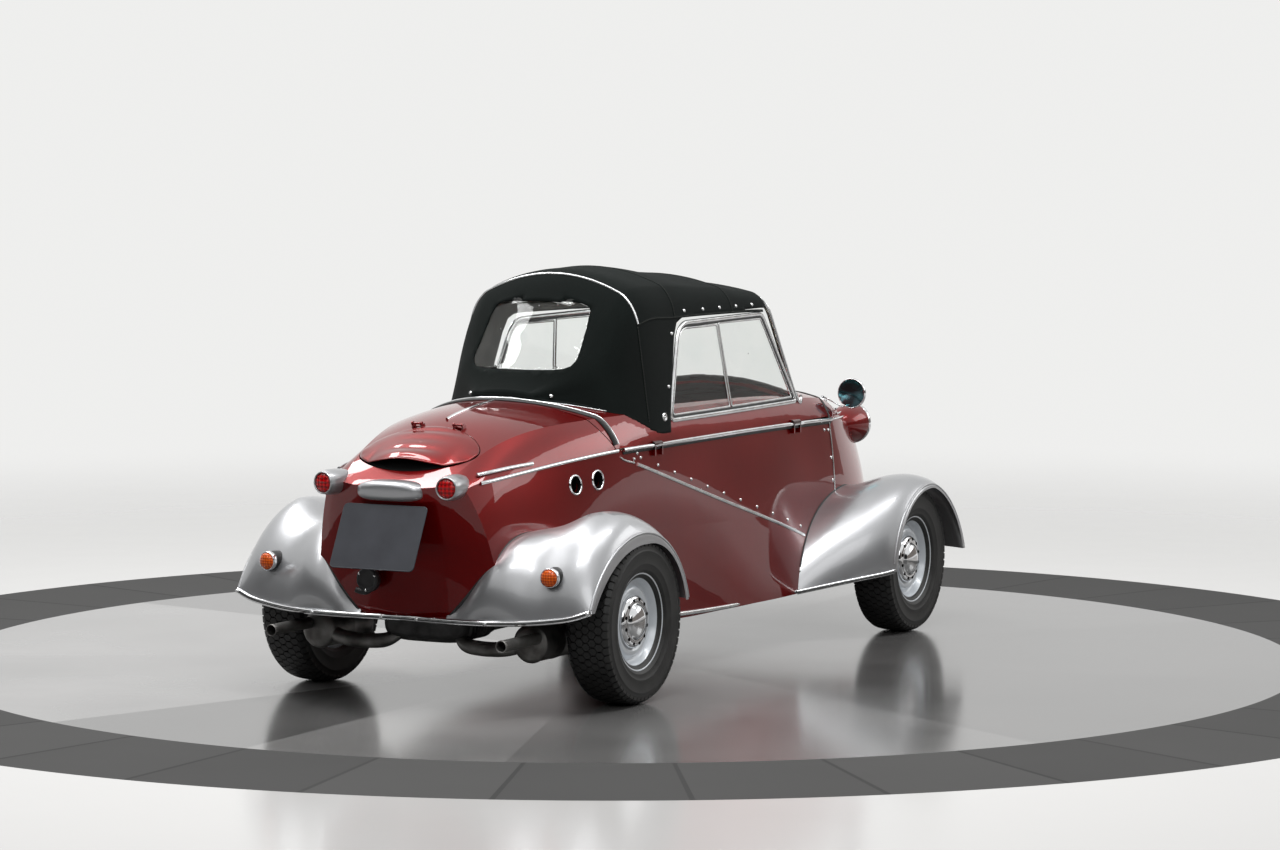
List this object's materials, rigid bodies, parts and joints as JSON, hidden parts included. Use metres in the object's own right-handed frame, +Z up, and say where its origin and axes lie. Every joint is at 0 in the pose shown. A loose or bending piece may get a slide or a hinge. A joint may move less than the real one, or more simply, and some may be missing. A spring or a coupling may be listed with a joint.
{
  "type": "bubble car",
  "caption": "Small tandem-seat four-wheeled bubble car with a canvas-topped canopy that hinges to the side, round-backed tail, flared fenders and a handlebar.",
  "frame": {"origin": "on the ground, on the centre line, midway between the axles and midway along the length", "axes": "+X forward, +Y to the car's left, +Z up"},
  "size_m": [3.008, 1.312, 1.2429],
  "materials": {
    "tyre": "matt",
    "rim_silver": "satin",
    "chrome_trim": "polished",
    "dark_steel": "satin",
    "engine_metal": "matt",
    "exhaust_steel": "matt",
    "silver_paint": "gloss",
    "red_paint": "gloss",
    "red_lens": "gloss",
    "amber_lens": "gloss",
    "plate_dark": "gloss",
    "horn_black": "satin",
    "lamp_glass": "polished",
    "window_glass": "polished",
    "black_canvas": "matt",
    "seat_cream": "satin",
    "seat_base_black": "satin",
    "dash_grey": "satin",
    "bar_black": "satin"
  },
  "bodies": {
    "body": {"tub": "red_paint", "tail": "red_paint", "nose": "red_paint", "fender_front_left": "silver_paint", "fender_front_right": "silver_paint", "fender_rear_left": "silver_paint", "fender_rear_right": "silver_paint", "tail_lamps": "silver_paint", "tail_lenses": "red_lens", "indicators": "amber_lens", "plate_lamp": "silver_paint", "number_plate": "plate_dark", "horn": "horn_black", "headlamps": "red_paint", "headlamp_lenses": "lamp_glass", "mirror": "chrome_trim", "front_axle": "dark_steel", "rear_axle": "dark_steel", "engine": "engine_metal", "exhaust": "exhaust_steel", "seat_front": "seat_cream", "seat_rear": "seat_cream", "seat_base_front": "seat_base_black", "seat_base_rear": "seat_base_black", "dashboard": "dash_grey"},
    "canopy": {"canopy_base": "red_paint", "window_frame": "chrome_trim", "windscreen": "window_glass", "side_glass": "window_glass", "hood": "black_canvas", "rear_window": "window_glass"},
    "lid": {"lid": "red_paint"},
    "handlebar": {"handlebar": "bar_black"},
    "knuckle_left": {"knuckle_left": "dark_steel"},
    "knuckle_right": {"knuckle_right": "dark_steel"},
    "wheel_front_left": {"tyre_front_left": "tyre", "rim_front_left": "rim_silver", "hubcap_front_left": "chrome_trim"},
    "wheel_front_right": {"tyre_front_right": "tyre", "rim_front_right": "rim_silver", "hubcap_front_right": "chrome_trim"},
    "wheel_rear_left": {"tyre_rear_left": "tyre", "rim_rear_left": "rim_silver", "hubcap_rear_left": "chrome_trim"},
    "wheel_rear_right": {"tyre_rear_right": "tyre", "rim_rear_right": "rim_silver", "hubcap_rear_right": "chrome_trim"}
  },
  "joints": [
    {"name": "canopy_hinge", "type": "hinge", "parent": "body", "child": "canopy", "pos_m": [0, -0.352, 0.714], "axis": [1, 0, 0], "range_deg": [0, 80]},
    {"name": "lid_hinge", "type": "hinge", "parent": "body", "child": "lid", "pos_m": [-1.128, 0, 0.809], "axis": [0, 1, 0], "range_deg": [0, 55]},
    {"name": "steer_left", "type": "hinge", "parent": "body", "child": "knuckle_left", "pos_m": [0.945, 0.495, 0.241], "axis": [0, 0, 1], "range_deg": [-25, 25]},
    {"name": "steer_right", "type": "hinge", "parent": "body", "child": "knuckle_right", "pos_m": [0.945, -0.495, 0.241], "axis": [0, 0, 1], "range_deg": [-25, 25]},
    {"name": "handlebar_turn", "type": "hinge", "parent": "body", "child": "handlebar", "pos_m": [0.4, 0, 0.66], "axis": [-0.848, 0, 0.53], "range_deg": [-25, 25]},
    {"name": "spin_front_left", "type": "hinge", "parent": "knuckle_left", "child": "wheel_front_left", "pos_m": [0.945, 0.555, 0.241], "axis": [0, 1, 0], "continuous": true},
    {"name": "spin_front_right", "type": "hinge", "parent": "knuckle_right", "child": "wheel_front_right", "pos_m": [0.945, -0.555, 0.241], "axis": [0, 1, 0], "continuous": true},
    {"name": "spin_rear_left", "type": "hinge", "parent": "body", "child": "wheel_rear_left", "pos_m": [-0.945, 0.52, 0.241], "axis": [0, 1, 0], "continuous": true},
    {"name": "spin_rear_right", "type": "hinge", "parent": "body", "child": "wheel_rear_right", "pos_m": [-0.945, -0.52, 0.241], "axis": [0, 1, 0], "continuous": true}
  ],
  "couplings": [
    {"joint": "steer_right", "follows": "steer_left", "ratio": 1},
    {"joint": "handlebar_turn", "follows": "steer_left", "ratio": 1}
  ]
}
